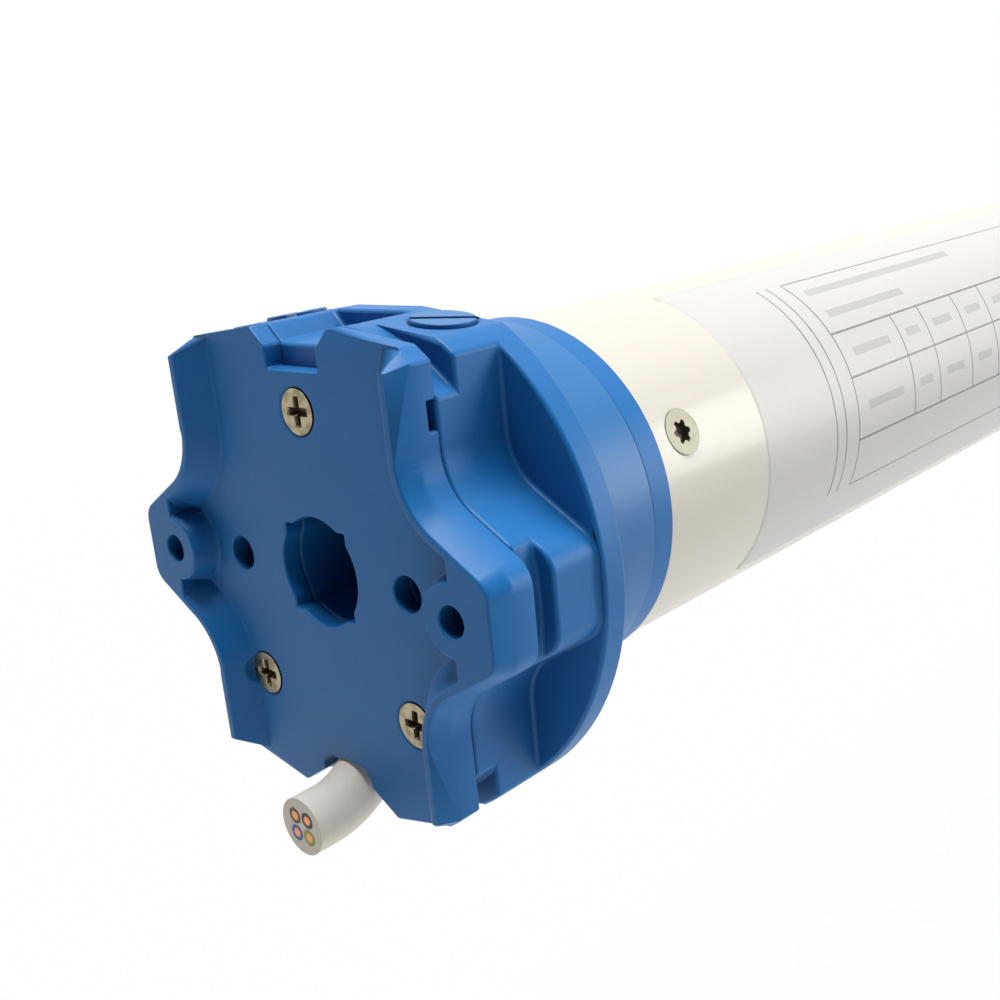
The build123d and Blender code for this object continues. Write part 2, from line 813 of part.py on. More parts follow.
for side, name in ((1, "adjuster_right"), (-1, "adjuster_left")):
    seat = tilted(side, adjuster_rise)
    with BuildPart() as adjuster:
        with BuildSketch(seat):
            Circle(adjuster_head_radius)
        extrude(amount=-adjuster_head_depth)
        with BuildSketch(seat):
            Circle(adjuster_shaft_radius)
        extrude(amount=-adjuster_length)
        with BuildSketch(seat):
            Rectangle(2 * adjuster_head_radius, adjuster_slot_width, rotation=side * adjuster_slot_angle)
        extrude(amount=-adjuster_slot_depth, mode=Mode.SUBTRACT)
    write(name, adjuster.part)

# Limit ring on the neck, with the inner gear that turns the limit pinion

with BuildPart() as limit_ring:
    add(disc(ring_start, ring_start + neck_step, limit_ring_radius, neck_radius + running_gap))
    add(disc(ring_start + neck_step, ring_end, limit_ring_radius))
    add(inner_teeth(ring_start + neck_step, ring_length - neck_step, limit_ring_teeth, limit_module),
        mode=Mode.SUBTRACT)
    with Locations(((ring_start + ring_end) / 2, limit_ring_radius, 0)):
        Box(ring_length, 2 * limit_ring_key_depth, limit_ring_key_width, mode=Mode.SUBTRACT)

write("limit_ring", limit_ring.part)

with BuildPart() as limit_pinion:
    add(gear(limit_gear_start, limit_gear_width, limit_pinion_teeth, limit_module, y=limit_pinion_orbit))
    add(rod(unit_plate_start, unit_start + unit_plate, limit_shaft_radius, limit_pinion_orbit, 0))

write("limit_pinion", limit_pinion.part)

# Collar between the ring and the tube

with BuildPart() as ring_collar:
    add(disc(collar_start, tube_start, collar_radius, neck_rear_radius + running_gap))
    add(disc(tube_start, spigot_end, fit_radius, neck_rear_radius + running_gap))
    for angle in tube_screw_angles:
        add(screw_hole(radial(tube_screw_place, tube_radius, angle), tube_screw_radius, tube_screw_head,
                       tube_screw_length), mode=Mode.SUBTRACT)

write("ring_collar", ring_collar.part)

# Housing tube and its rating label

with BuildPart() as housing_tube:
    add(disc(tube_start, tube_end, tube_radius, tube_inner))
    for station in (tube_screw_place, end_screw_place):
        for angle in tube_screw_angles:
            add(screw_hole(radial(station, tube_radius, angle), tube_screw_radius, tube_screw_head,
                           tube_screw_length), mode=Mode.SUBTRACT)

write("housing_tube", housing_tube.part)

with BuildPart() as rating_label:
    with BuildSketch(Plane.YZ.offset(tube_start + label_start)):
        with BuildLine():
            start = label_middle_angle - label_arc_angle / 2
            outer = CenterArc((0, 0), tube_radius + label_thickness, start, label_arc_angle)
            inner = CenterArc((0, 0), tube_radius + running_gap, start, label_arc_angle)
            Line(outer @ 0, inner @ 0)
            Line(outer @ 1, inner @ 1)
        make_face()
    extrude(amount=label_length)

write("rating_label", rating_label.part)

# Limit switch unit: a plate in the neck with two arms for the adjusters, and a sealed housing behind

with BuildPart() as limit_switch_unit:
    add(disc(unit_plate_start, unit_plate_start + unit_plate, neck_bore_radius - running_gap))
    for side in (-1, 1):
        with Locations(((arm_start + unit_plate_start) / 2, side * arm_side, arm_middle)):
            Box(unit_plate_start - arm_start, arm_width, arm_height)
        with BuildSketch(tilted(side)):
            Circle(adjuster_shaft_radius + running_gap)
        extrude(amount=adjuster_rise - adjuster_length - running_gap, mode=Mode.SUBTRACT)
    with BuildSketch(Plane.YZ.offset(unit_plate_start)):
        with PolarLocations(unit_post_orbit, unit_post_count, start_angle=unit_post_angle):
            Circle(unit_post_radius)
    extrude(amount=unit_start - unit_plate_start)
    add(disc(unit_start, unit_end, fit_radius))
    # Shelf for the switches, open at the top
    with Locations(((unit_start + unit_end) / 2, 0, switch_floor + tube_radius / 2)):
        Box(unit_length - 2 * unit_plate, 2 * tube_radius, tube_radius, mode=Mode.SUBTRACT)
    add(rod(unit_end - holder_width, unit_end + overrun, loom_radius + slip_gap, 0, -loom_place),
        mode=Mode.SUBTRACT)
    shaft_room = limit_shaft_radius + running_gap
    shaft_room_end = unit_start + unit_plate + slip_gap
    add(rod(unit_plate_start - overrun, shaft_room_end, shaft_room, limit_pinion_orbit, 0),
        mode=Mode.SUBTRACT)

write("limit_switch_unit", limit_switch_unit.part)

for side, name in ((1, "micro_switch_right"), (-1, "micro_switch_left")):
    middle = unit_start + switch_inset + switch_length / 2
    with BuildPart() as micro_switch:
        with Locations((middle, side * switch_side, switch_top - switch_height / 2)):
            Box(switch_length, switch_width, switch_height)
        chamfer(edges().filter_by(Axis.Y), switch_chamfer)
        with Locations((middle - switch_button_offset, side * switch_side, switch_top)):
            Box(switch_button, switch_button, 2 * switch_button)
    write(name, micro_switch.part)

# Capacitor in its two holders

with BuildPart() as capacitor:
    add(disc(capacitor_start, capacitor_end, capacitor_radius))
    fillet(edges().filter_by(GeomType.CIRCLE), capacitor_rim)
    with Locations((capacitor_start - tab_length / 2, -tab_spacing / 2, 0),
                   (capacitor_start - tab_length / 2, tab_spacing / 2, 0)):
        Box(tab_length, tab_thickness, tab_width)

write("capacitor", capacitor.part)

for name, start in (
    ("capacitor_holder_front", capacitor_start + capacitor_rim),
    ("capacitor_holder_rear", capacitor_end - capacitor_rim - holder_width),
):
    with BuildPart() as holder:
        add(disc(start, start + holder_width, fit_radius, capacitor_radius + running_gap))
        add(loom_notch(start, holder_width), mode=Mode.SUBTRACT)
    write(name, holder.part)

loom_start = unit_end - holder_width + slip_gap

with BuildPart() as wiring_loom:
    add(rod(loom_start, shield_end, loom_radius, 0, -loom_place))

write("wiring_loom", wiring_loom.part)

# Electromagnetic brake

with BuildPart() as brake_housing:
    add(disc(brake_start, coil_end, brake_radius))
    add(disc(coil_end - brake_floor, coil_end, fit_radius))
    add(disc(brake_start + brake_floor, coil_end + overrun, brake_radius - brake_wall, coil_core_radius),
        mode=Mode.SUBTRACT)
    add(disc(brake_start - overrun, coil_end + overrun, core_bore_radius), mode=Mode.SUBTRACT)
    add(disc(coil_end - spring_height, coil_end + overrun, spring_radius), mode=Mode.SUBTRACT)
    add(pillars(coil_end - brake_floor - overrun, coil_end + overrun, pillar_radius / 2 + running_gap),
        mode=Mode.SUBTRACT)
    add(loom_notch(coil_end - brake_floor, brake_floor), mode=Mode.SUBTRACT)

write("brake_housing", brake_housing.part)

with BuildPart() as brake_coil:
    add(disc(brake_start + brake_floor + running_gap, coil_end - running_gap,
             brake_radius - brake_wall - running_gap, coil_core_radius + running_gap))

write("brake_coil", brake_coil.part)

with BuildPart() as brake_spring:
    add(disc(coil_end - spring_height, coil_end - running_gap, spring_radius - running_gap,
             core_bore_radius + running_gap))

write("brake_spring", brake_spring.part)

with BuildPart() as brake_armature:
    add(disc(armature_start, armature_end, fit_radius - slip_gap, core_bore_radius))
    add(pillars(armature_start - overrun, armature_end + overrun, pillar_radius + running_gap),
        mode=Mode.SUBTRACT)
    add(loom_notch(armature_start, armature_thickness, slip_gap), mode=Mode.SUBTRACT)

write("brake_armature", brake_armature.part)

with BuildPart() as brake_disc:
    add(disc(friction_start, friction_end, pillar_orbit - pillar_radius - slip_gap,
             motor_shaft_radius + running_gap))

write("brake_disc", brake_disc.part)

# Bearing shields, the front one with the pillars that carry the brake

with BuildPart() as front_shield:
    add(disc(shield_start, shield_end, fit_radius, motor_shaft_radius + slip_gap))
    add(disc(shield_end - bearing_width, shield_end + overrun, bearing_radius + running_gap),
        mode=Mode.SUBTRACT)
    add(pillars(coil_end, shield_start, pillar_radius))
    add(pillars(coil_end - brake_floor, coil_end, pillar_radius / 2))
    add(loom_notch(shield_start, shield_thickness), mode=Mode.SUBTRACT)

write("front_shield", front_shield.part)

with BuildPart() as rear_shield:
    add(disc(rear_shield_start, rear_shield_end, fit_radius, motor_shaft_radius + slip_gap))
    add(disc(rear_shield_start - overrun, rear_shield_start + bearing_width, bearing_radius + running_gap),
        mode=Mode.SUBTRACT)

write("rear_shield", rear_shield.part)

for name, start in (("front_bearing", shield_end - bearing_width), ("rear_bearing", rear_shield_start)):
    with BuildPart() as bearing:
        add(disc(start, start + bearing_width, bearing_radius, motor_shaft_radius + running_gap))
    write(name, bearing.part)

# Motor


def winding_slots(start, end, gap=0):
    """The stator's slots between two stations, each with its narrow mouth to the bore."""
    bore = rotor_radius + air_gap
    with BuildPart(mode=Mode.PRIVATE) as slots:
        with BuildSketch(Plane.YZ.offset(start)):
            with PolarLocations((bore + slot_lip + slot_reach) / 2, slot_count):
                Rectangle(slot_reach - bore - slot_lip - 2 * gap, slot_width - 2 * gap)
        extrude(amount=end - start)
    return slots.part


with BuildPart() as stator_core:
    add(disc(stator_start, stator_end, fit_radius, rotor_radius + air_gap))
    add(winding_slots(stator_start - overrun, stator_end + overrun), mode=Mode.SUBTRACT)
    with BuildSketch(Plane.YZ.offset(stator_start)):
        with PolarLocations(rotor_radius + air_gap + slot_lip / 2, slot_count):
            Rectangle(2 * slot_lip, slot_mouth)
    extrude(amount=stator_length, mode=Mode.SUBTRACT)

write("stator_core", stator_core.part)

with BuildPart() as stator_winding:
    add(winding_slots(stator_start - end_turn_length, stator_end + end_turn_length, running_gap))
    for start in (stator_start - end_turn_length, stator_end + slip_gap):
        add(disc(start, start + end_turn_length - slip_gap, slot_reach, rotor_radius + air_gap + slot_lip))

write("stator_winding", stator_winding.part)

with BuildPart() as rotor_core:
    add(disc(stator_start, stator_end, rotor_radius, motor_shaft_radius + running_gap))
    for start in (stator_start - end_ring_length, stator_end):
        add(disc(start, start + end_ring_length, rotor_radius - air_gap, 2 * motor_shaft_radius))

write("rotor_core", rotor_core.part)

with BuildPart() as rotor_shaft:
    add(rod(coil_end + slip_gap, gearbox_start + stage_gap, motor_shaft_radius, 0, 0))
    add(gear(gearbox_start + stage_gap, stage_widths[0], sun_teeth, gear_module))

write("rotor_shaft", rotor_shaft.part)

# Planetary gearbox

with BuildPart() as ring_gear:
    add(disc(gearbox_start, gear_end, fit_radius))
    inner_width = gear_end - gearbox_start + 2 * overrun
    add(inner_teeth(gearbox_start - overrun, inner_width, ring_teeth, gear_module), mode=Mode.SUBTRACT)

write("ring_gear", ring_gear.part)

stage_start = gearbox_start
for stage, width in enumerate(stage_widths, 1):
    planet_start = stage_start + stage_gap
    carrier_start = planet_start + width + stage_gap
    carrier_end = carrier_start + carrier_thickness
    for number in range(planet_count):
        place = full_turn * number / planet_count
        turn = place + half_turn - half_turn / planet_teeth + place * sun_teeth / planet_teeth
        y = planet_orbit * cos(radians(place))
        z = planet_orbit * sin(radians(place))
        with BuildPart() as planet:
            add(gear(planet_start, width, planet_teeth, gear_module, turn, y, z,
                     bore=planet_pin_radius + running_gap))
        write(f"planet_{stage}_{number + 1}", planet.part)

    with BuildPart() as carrier:
        add(disc(carrier_start, carrier_end, carrier_radius))
        with BuildSketch(Plane.YZ.offset(planet_start)):
            with PolarLocations(planet_orbit, planet_count):
                Circle(planet_pin_radius)
        extrude(amount=width + stage_gap)
        if stage < stage_count:
            add(gear(carrier_end, stage_gap + stage_widths[stage], sun_teeth, gear_module))
        else:
            add(rod(carrier_end, cap_end + journal_reach, journal_radius, 0, 0))
            add(rod(cap_end + journal_reach, shaft_end - drive_flat_length, output_radius, 0, 0))
            add(rod(shaft_end - drive_flat_length, shaft_end, output_radius - drive_end_step, 0, 0))
            for side in (-1, 1):
                flat_middle = side * (drive_flat + output_radius) / 2
                with Locations((shaft_end - drive_flat_length / 2, flat_middle, 0)):
                    Box(drive_flat_length, output_radius, 2 * output_radius, mode=Mode.SUBTRACT)
            add(disc(clip_start, clip_start + clip_thickness, 2 * output_radius, clip_seat_radius),
                mode=Mode.SUBTRACT)
    write("output_carrier" if stage == stage_count else f"carrier_{stage}", carrier.part)
    stage_start = carrier_end

# Drive end

with BuildPart() as end_cap:
    add(disc(gear_end, tube_end, fit_radius))
    add(disc(tube_end, cap_end, tube_radius))
    add(disc(gear_end - overrun, cap_end + overrun, journal_radius + bush_wall / 2), mode=Mode.SUBTRACT)
    for start, end in (
        (gear_end - overrun, gear_end + bush_length),
        (cap_end - bush_length, cap_end + overrun),
    ):
        add(disc(start, end, journal_radius + bush_wall + running_gap), mode=Mode.SUBTRACT)
    for angle in tube_screw_angles:
        add(screw_hole(radial(end_screw_place, tube_radius, angle), tube_screw_radius, tube_screw_head,
                       end_screw_length), mode=Mode.SUBTRACT)

write("end_cap", end_cap.part)

for name, start in (("front_bush", gear_end), ("rear_bush", cap_end - bush_length)):
    with BuildPart() as bush:
        add(disc(start, start + bush_length, journal_radius + bush_wall, journal_radius + running_gap))
    write(name, bush.part)

with BuildPart() as output_clip:
    add(disc(clip_start + running_gap, clip_start + clip_thickness - running_gap, clip_radius,
             clip_seat_radius + running_gap))
    with Locations((clip_start, 0, -clip_radius)):
        Box(2 * clip_thickness, clip_opening, 2 * clip_radius, mode=Mode.SUBTRACT)

write("output_clip", output_clip.part)
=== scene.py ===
"""A tubular motor for a roller blind, dressed on its CAD frame and set in a plain studio."""

import json
import logging
import math
from dataclasses import dataclass
from enum import Enum
from typing import TypeAlias

import bmesh
import bpy
from mathutils import Matrix, Vector
from mathutils.geometry import intersect_point_line
from mathutils.kdtree import KDTree

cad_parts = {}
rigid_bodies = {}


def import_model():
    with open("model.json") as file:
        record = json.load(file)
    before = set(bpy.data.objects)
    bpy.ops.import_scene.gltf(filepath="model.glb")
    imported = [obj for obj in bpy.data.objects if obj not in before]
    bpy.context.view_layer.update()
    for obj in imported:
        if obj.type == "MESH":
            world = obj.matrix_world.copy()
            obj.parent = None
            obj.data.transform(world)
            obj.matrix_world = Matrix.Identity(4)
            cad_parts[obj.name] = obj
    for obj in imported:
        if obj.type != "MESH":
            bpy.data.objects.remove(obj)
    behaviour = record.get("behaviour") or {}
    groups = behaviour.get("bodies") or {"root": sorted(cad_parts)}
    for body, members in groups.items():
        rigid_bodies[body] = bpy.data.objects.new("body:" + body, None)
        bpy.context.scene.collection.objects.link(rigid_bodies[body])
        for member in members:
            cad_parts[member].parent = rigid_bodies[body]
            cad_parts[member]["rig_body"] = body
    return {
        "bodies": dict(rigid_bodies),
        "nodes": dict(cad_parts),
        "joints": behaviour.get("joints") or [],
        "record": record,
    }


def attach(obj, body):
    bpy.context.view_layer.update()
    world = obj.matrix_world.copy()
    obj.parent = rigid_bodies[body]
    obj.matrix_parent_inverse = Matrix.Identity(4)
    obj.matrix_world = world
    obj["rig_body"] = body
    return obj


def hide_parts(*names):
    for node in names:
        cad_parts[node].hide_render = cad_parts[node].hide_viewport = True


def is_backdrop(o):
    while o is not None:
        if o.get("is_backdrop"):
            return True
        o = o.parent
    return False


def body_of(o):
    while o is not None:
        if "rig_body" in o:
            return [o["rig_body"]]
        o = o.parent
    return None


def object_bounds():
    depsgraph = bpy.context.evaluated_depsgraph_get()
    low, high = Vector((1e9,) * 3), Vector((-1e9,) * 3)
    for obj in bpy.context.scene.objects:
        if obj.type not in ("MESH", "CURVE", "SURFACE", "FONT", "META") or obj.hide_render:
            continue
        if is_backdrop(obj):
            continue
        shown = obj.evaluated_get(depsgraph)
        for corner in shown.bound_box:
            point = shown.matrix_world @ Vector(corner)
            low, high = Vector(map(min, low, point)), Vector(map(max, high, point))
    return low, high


LOG = logging.getLogger("blind_motor")
MM = 0.001

Colour: TypeAlias = tuple[float, float, float]
Value: TypeAlias = "float | Signal"

WHITE: Colour = (1.0, 1.0, 1.0)
WARM_WHITE: Colour = (1.0, 0.98, 0.95)


def tinted(colour: Colour, share: float) -> Colour:
    """A colour made lighter, or darker below 1, by a share."""
    return tuple(min(1.0, part * share) for part in colour)


class Signal:
    """A shader socket that takes part in Python expressions, each adding its Math node."""

    def __init__(self, shader: "Shader", socket: bpy.types.NodeSocket) -> None:
        """Wraps one output socket of a shader's node."""
        self.shader = shader
        self.socket = socket

    def maths(self, operation: str, *others: Value) -> "Signal":
        """Adds a Math node on this value.

        Args:
            operation: the Math node's operation.
            others: further inputs, numbers or signals.

        Returns:
            The node's result.
        """
        values = dict(enumerate((self, *others)))
        made = self.shader.node("ShaderNodeMath", {"operation": operation}, values)
        return Signal(self.shader, made.outputs[0])

    def __add__(self, other: Value) -> "Signal":
        """This plus another."""
        return self.maths("ADD", other)

    def __radd__(self, other: Value) -> "Signal":
        """Another plus this."""
        return self.maths("ADD", other)

    def __sub__(self, other: Value) -> "Signal":
        """This less another."""
        return self.maths("SUBTRACT", other)

    def __rsub__(self, other: float) -> "Signal":
        """A number less this."""
        return self.maths("MULTIPLY_ADD", -1.0, other)

    def __mul__(self, other: Value) -> "Signal":
        """This times another."""
        return self.maths("MULTIPLY", other)

    def __rmul__(self, other: Value) -> "Signal":
        """Another times this."""
        return self.maths("MULTIPLY", other)

    def __lt__(self, other: Value) -> "Signal":
        """1 where this is less than another."""
        return self.maths("LESS_THAN", other)

    def __gt__(self, other: Value) -> "Signal":
        """1 where this is more than another."""
        return self.maths("GREATER_THAN", other)

    def __abs__(self) -> "Signal":
        """This without its sign."""
        return self.maths("ABSOLUTE")

    def near(self, place: float, half: float) -> "Signal":
        """1 within a half width of a place."""
        return self.maths("COMPARE", place, half)

    def either(self, other: Value) -> "Signal":
        """The larger of this and another."""
        return self.maths("MAXIMUM", other)

    def clipped(self) -> "Signal":
        """This, held between 0 and 1."""
        return self.maths("MAXIMUM", 0.0).maths("MINIMUM", 1.0)


class Shader:
    """A material or a world under construction, with its surface node."""

    shelter_samples = 8

    def __init__(self, owner: bpy.types.ID, surface: str = "Principled BSDF") -> None:
        """Starts a material or a world with only its surface node.

        Args:
            owner: the new material or world.
            surface: the name of the node that Blender puts in it.
        """
        owner.use_nodes = True
        self.tree = owner.node_tree
        self.surface = self.tree.nodes[surface]

    def node(self, kind: str, settings: dict | None = None, inputs: dict | None = None) -> bpy.types.Node:
        """Adds any node.

        Args:
            kind: the node's type.
            settings: its properties, set first.
            inputs: values or signals for its sockets, by name or number.

        Returns:
            The new node.
        """
        made = self.tree.nodes.new(kind)
        for name, value in (settings or {}).items():
            setattr(made, name, value)
        for name, value in (inputs or {}).items():
            self.feed(made.inputs[name], value)
        return made

    def feed(self, socket: bpy.types.NodeSocket, value: object) -> None:
        """Gives a socket its input.

        Args:
            socket: the input socket.
            value: a number, a colour, a vector or a signal.
        """
        if isinstance(value, Signal):
            self.tree.links.new(value.socket, socket)
        elif isinstance(value, tuple) and socket.type == "RGBA" and len(value) == 3:
            socket.default_value = (*value, 1.0)
        else:
            socket.default_value = value

    def set(self, name: str, value: object) -> None:
        """Sets one socket of the surface."""
        self.feed(self.surface.inputs[name], value)

    def place(self) -> Signal:
        """The object's own coordinates, in metres."""
        return Signal(self, self.node("ShaderNodeTexCoord").outputs["Object"])

    def axes(self) -> tuple[Signal, Signal, Signal]:
        """The object's own coordinates, apart, in millimetres."""
        split = self.node("ShaderNodeSeparateXYZ", None, {0: self.place()})
        return tuple(Signal(self, socket) * (1 / MM) for socket in split.outputs)

    def noise(self, size: float, detail: float = 2.0) -> Signal:
        """Even noise whose grains have a size in metres."""
        inputs = {"Vector": self.place(), "Scale": 1 / size, "Detail": detail}
        return Signal(self, self.node("ShaderNodeTexNoise", None, inputs).outputs["Fac"])

    def shelter(self, reach: float) -> Signal:
        """1 deep in corners and pockets, and 0 on open faces, within a reach in metres."""
        made = self.node("ShaderNodeAmbientOcclusion", {"samples": self.shelter_samples}, {"Distance": reach})
        return 1 - Signal(self, made.outputs["AO"])

    def mix(self, mask: Value, low: object, high: object) -> Signal:
        """Colour between two others by a mask."""
        made = self.node("ShaderNodeMix", {"data_type": "RGBA"}, {0: mask, 6: low, 7: high})
        return Signal(self, made.outputs[2])

    def shades(self, mask: Signal, colour: Colour, low: float, high: float) -> Signal:
        """A colour that a mask varies between two shares of itself."""
        return self.mix(mask, tinted(colour, low), tinted(colour, high))

    def vector_maths(self, operation: str, *values: object) -> bpy.types.Node:
        """Adds a Vector Math node on vectors."""
        return self.node("ShaderNodeVectorMath", {"operation": operation}, dict(enumerate(values)))

    def bump(self, height: Signal, depth: float) -> None:
        """Raises the surface by a height that runs from 0 to 1."""
        made = self.node("ShaderNodeBump", None, {"Height": height, "Distance": depth, "Strength": 1.0})
        self.set("Normal", Signal(self, made.outputs["Normal"]))

    def mix_white(self, share: Signal, light: str, output: str) -> None:
        """Shows plain white in place of the surface.

        Args:
            share: how much white, from 0 to 1.
            light: the type of the node that gives the white.
            output: the name of the tree's output node.
        """
        white = self.node(light, None, {"Color": WHITE, "Strength": 1.0})
        sides = {1: Signal(self, self.surface.outputs[0]), 2: Signal(self, white.outputs[0])}
        mixed = self.node("ShaderNodeMixShader", None, {0: share, **sides})
        self.tree.links.new(mixed.outputs[0], self.tree.nodes[output].inputs["Surface"])


@dataclass(frozen=True)
class WhiteRoom:
    """A white surrounding for the rays that show it, which reflections see darker on one side."""

    dim_side: tuple[float, float, float] = (-0.707, -0.707, 0.0)
    dim_from: float = 0.25
    dim_over: float = 0.6
    dim_depth: float = 0.85

    def seen(self, shader: Shader, way: Signal) -> Signal:
        """How much of the white surrounding a ray sees.

        Args:
            shader: the material or world under construction.
            way: the direction in which the surrounding lies, of any length.

        Returns:
            1 for camera rays, and for glossy and transmission rays 1 too, save on the dim side.
        """
        path = shader.node("ShaderNodeLightPath").outputs
        camera, glossy, through = (
            Signal(shader, path[name]) for name in ("Is Camera Ray", "Is Glossy Ray", "Is Transmission Ray")
        )
        unit = Signal(shader, shader.vector_maths("NORMALIZE", way).outputs[0])
        turned = Signal(shader, shader.vector_maths("DOT_PRODUCT", unit, self.dim_side).outputs["Value"])
        room = 1 - ((turned - self.dim_from) * (1 / self.dim_over)).clipped() * self.dim_depth
        return camera.either(glossy.either(through) * room)


class Finish:
    """A finish that makes its material once and gives it to pieces."""

    name: str

    def paint(self, shader: Shader) -> None:
        """Sets the shader's surface."""
        raise NotImplementedError

    def material(self) -> bpy.types.Material:
        """The finish's material.

        Returns:
            The material, made on first use and the same one afterwards.
        """
        name = f"{self.name}_finish"
        found = bpy.data.materials.get(name)
        if found:
            return found
        made = bpy.data.materials.new(name)
        self.paint(Shader(made))
        return made


@dataclass(frozen=True)
class MouldedPlastic(Finish):
    """Moulded plastic with a fine grain, faint flow marks and, on outer pieces, painted shade that darkens
    the corners.
    """

    name: str
    colour: Colour
    roughness: float = 0.42
    roughness_spread: float = 0.1
    gloss: float = 0.25
    grain: float = 0.35 * MM
    grain_depth: float = 0.004 * MM
    flow_size: float = 9 * MM
    mottle: float = 0.06
    haze: float = 0.0
    haze_roughness: float = 0.4
    grime: float = 0.0
    grime_reach: float = 12 * MM
    grime_colour: Colour = (0.0, 0.004, 0.02)

    def paint(self, shader: Shader) -> None:
        """Sets colour, gloss, haze and grain.

        Args:
            shader: the material under construction.
        """
        shader.set("Specular IOR Level", self.gloss)
        shader.set("Sheen Weight", self.haze)
        shader.set("Sheen Roughness", self.haze_roughness)
        colour = shader.shades(shader.noise(self.flow_size), self.colour, 1 - self.mottle, 1 + self.mottle)
        # Painted shade: corners and pockets darken towards a dark blue by ambient occlusion, standing in for
        # the shade that falls there.
        if self.grime:
            colour = shader.mix(shader.shelter(self.grime_reach) * self.grime, colour, self.grime_colour)
        shader.set("Base Color", colour)
        grain = shader.noise(self.grain)
        shader.set("Roughness", grain * self.roughness_spread + (self.roughness - self.roughness_spread / 2))
        shader.bump(grain, self.grain_depth)


@dataclass(frozen=True)
class Lacquer(Finish):
    """Glossy lacquer on the housing tube, with a little orange peel."""

    name: str = "tube_lacquer"
    colour: Colour = (0.795, 0.76, 0.66)
    cloud_size: float = 30 * MM
    cloud_shares: tuple[float, float] = (0.975, 1.02)
    peel_size: float = 1.4 * MM
    peel_detail: float = 3.0
    peel_depth: float = 0.006 * MM
    peel_roughness: float = 0.08
    roughness: float = 0.3
    coat: float = 0.35
    coat_roughness: float = 0.12

    def paint(self, shader: Shader) -> None:
        """Sets colour, gloss and orange peel.

        Args:
            shader: the material under construction.
        """
        cloud = shader.noise(self.cloud_size)
        shader.set("Base Color", shader.shades(cloud, self.colour, *self.cloud_shares))
        peel = shader.noise(self.peel_size, self.peel_detail)
        shader.set("Roughness", peel * self.peel_roughness + self.roughness)
        shader.bump(peel, self.peel_depth)
        shader.set("Coat Weight", self.coat)
        shader.set("Coat Roughness", self.coat_roughness)


@dataclass(frozen=True)
class Metal(Finish):
    """Machined, cast or plated metal."""

    name: str
    colour: Colour
    roughness: float = 0.34
    roughness_spread: float = 0.2
    grain: float = 0.5 * MM
    depth: float = 0.006 * MM
    patch_size: float = 2.2 * MM
    patch: float = 0.12
    detail: float = 4.0

    def paint(self, shader: Shader) -> None:
        """Sets a metal with uneven plating and fine marks.

        Args:
            shader: the material under construction.
        """
        patches = shader.noise(self.patch_size, self.detail)
        shader.set("Base Color", shader.shades(patches, self.colour, 1 - self.patch, 1 + self.patch))
        shader.set("Metallic", 1.0)
        marks = shader.noise(self.grain, self.detail)
        shader.set("Roughness", marks * self.roughness_spread + (self.roughness - self.roughness_spread / 2))
        shader.bump(marks, self.depth)


@dataclass(frozen=True)
class PlatedScrew(Finish):
    """Yellowed zinc plating, tarnished in patches, with painted shade in the recess of the head."""

    name: str = "zinc_screw"
    colour: Colour = (0.42, 0.36, 0.24)
    tarnish: Colour = (0.12, 0.085, 0.045)
    head_face: float = 0.1
    grime_depth: float = 0.35
    grime_roughness: float = 0.3
    patch_size: float = 1.3 * MM
    patch_from: float = 0.42
    patch_gain: float = 5.0
    patch_share: float = 0.55
    mark_size: float = 0.4 * MM
    mark_depth: float = 0.012 * MM
    mark_roughness: float = 0.2
    roughness: float = 0.16
    detail: float = 4.0

    def paint(self, shader: Shader) -> None:
        """Sets a metal that is tarnished in patches and, as painted shade, darker below the head's face.

        Args:
            shader: the material under construction.
        """
        along, _, _ = shader.axes()
        # Painted shade: below the head's face the recess darkens to the same dark colour as the tarnish, and
        # gets rougher.
        recess_shade = ((along - self.head_face) * (1 / self.grime_depth)).clipped()
        patches = shader.noise(self.patch_size, self.detail)
        worn = ((patches - self.patch_from) * self.patch_gain).clipped() * self.patch_share
        shader.set("Base Color", shader.mix(recess_shade.either(worn), self.colour, self.tarnish))
        shader.set("Metallic", 1.0)
        marks = shader.noise(self.mark_size, self.detail)
        shader.set("Roughness", marks * self.mark_roughness + self.roughness + recess_shade * self.grime_roughness)
        shader.bump(marks, self.mark_depth)


@dataclass(frozen=True)
class Jacket(Finish):
    """Soft cable jacket, a little matt and dusty."""

    name: str = "lead_jacket"
    colour: Colour = (0.92, 0.86, 0.74)
    dust_size: float = 2.5 * MM
    dust_detail: float = 4.0
    dust_shares: tuple[float, float] = (0.93, 1.04)
    dust_roughness: float = 0.15
    roughness: float = 0.5
    grain: float = 0.5 * MM
    grain_depth: float = 0.01 * MM

    def paint(self, shader: Shader) -> None:
        """Sets a soft matt surface.

        Args:
            shader: the material under construction.
        """
        dust = shader.noise(self.dust_size, self.dust_detail)
        shader.set("Base Color", shader.shades(dust, self.colour, *self.dust_shares))
        shader.set("Roughness", self.roughness + dust * self.dust_roughness)
        shader.bump(shader.noise(self.grain), self.grain_depth)


